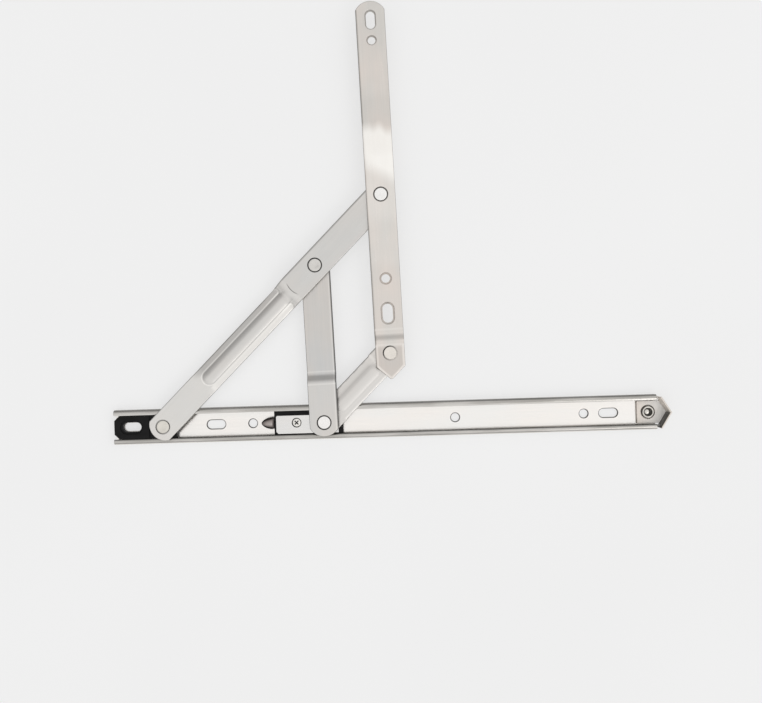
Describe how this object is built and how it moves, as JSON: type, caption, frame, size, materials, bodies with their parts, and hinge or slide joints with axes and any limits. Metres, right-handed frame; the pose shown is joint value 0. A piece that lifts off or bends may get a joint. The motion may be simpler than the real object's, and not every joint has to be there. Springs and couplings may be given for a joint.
{
  "type": "friction stay hinge",
  "caption": "Four-bar friction stay for a window sash: lipped track with sliding shoe, three linked arms and a vent bar, shown fully open.",
  "frame": {"origin": "middle of the track's flat back face", "axes": "+X along the track from its plain end to the nose receiver, +Y the way the stay opens, +Z out of the track's back towards the vent bar"},
  "size_m": [0.3477, 0.2693, 0.0139],
  "materials": {
    "arm_steel": "satin stainless strip",
    "track_steel": "satin stainless, roll formed",
    "rivet_steel": "bright turned stainless",
    "receiver_steel": "pressed stainless, slightly dull",
    "nose_metal": "dark sintered metal, smooth",
    "black_nylon": "moulded black nylon",
    "white_nylon": "natural nylon",
    "brass": "plain brass"
  },
  "bodies": {
    "track": {"track_channel": "track_steel", "end_block": "black_nylon", "pivot_spacer": "black_nylon", "nose_receiver": "receiver_steel", "receiver_rivet": "rivet_steel", "pivot_rivet": "rivet_steel", "pivot_washer": "white_nylon"},
    "slider": {"slider_body": "black_nylon", "slider_plate": "arm_steel", "slider_nose": "nose_metal", "slider_stud": "rivet_steel", "friction_pad": "brass"},
    "adjuster": {"friction_screw": "rivet_steel"},
    "long_arm": {"long_arm": "arm_steel", "brace_rivet": "rivet_steel", "brace_washer": "white_nylon", "vent_rivet": "rivet_steel", "vent_washer": "white_nylon"},
    "brace": {"brace_arm": "arm_steel", "slider_rivet": "rivet_steel", "slider_washer": "white_nylon"},
    "short_link": {"short_link": "arm_steel"},
    "vent_bar": {"vent_bar": "arm_steel", "link_rivet": "rivet_steel", "link_washer": "white_nylon"}
  },
  "joints": [
    {"name": "long_arm_swing", "type": "hinge", "parent": "track", "child": "long_arm", "pos_m": [-0.1381, 0, 0.007], "axis": [0, 0, 1], "range_deg": [-44.69, 0]},
    {"name": "brace_fold", "type": "hinge", "parent": "long_arm", "child": "brace", "pos_m": [-0.03929, 0.09776, 0.008], "axis": [0, 0, 1], "range_deg": [0, 133.1]},
    {"name": "vent_bar_fold", "type": "hinge", "parent": "long_arm", "child": "vent_bar", "pos_m": [0.00301, 0.13961, 0.011], "axis": [0, 0, 1], "range_deg": [0, 133.1]},
    {"name": "short_link_fold", "type": "hinge", "parent": "brace", "child": "short_link", "pos_m": [-0.03656, 0, 0.008], "axis": [0, 0, 1], "range_deg": [-133.1, 0]},
    {"name": "slider_travel", "type": "slide", "parent": "track", "child": "slider", "axis": [1, 0, 0], "range_m": [0, 0.13526]},
    {"name": "friction_screw_turn", "type": "hinge", "parent": "slider", "child": "adjuster", "pos_m": [-0.05436, 0, 0.005], "axis": [0, 0, 1], "range_deg": [-180, 180]}
  ],
  "couplings": [
    {"joint": "brace_fold", "follows": "long_arm_swing", "ratio": -2.9779},
    {"joint": "vent_bar_fold", "follows": "long_arm_swing", "ratio": -2.9779},
    {"joint": "short_link_fold", "follows": "long_arm_swing", "ratio": 2.9779},
    {"joint": "slider_travel", "follows": "long_arm_swing", "m_per_rad": -0.17339}
  ]
}
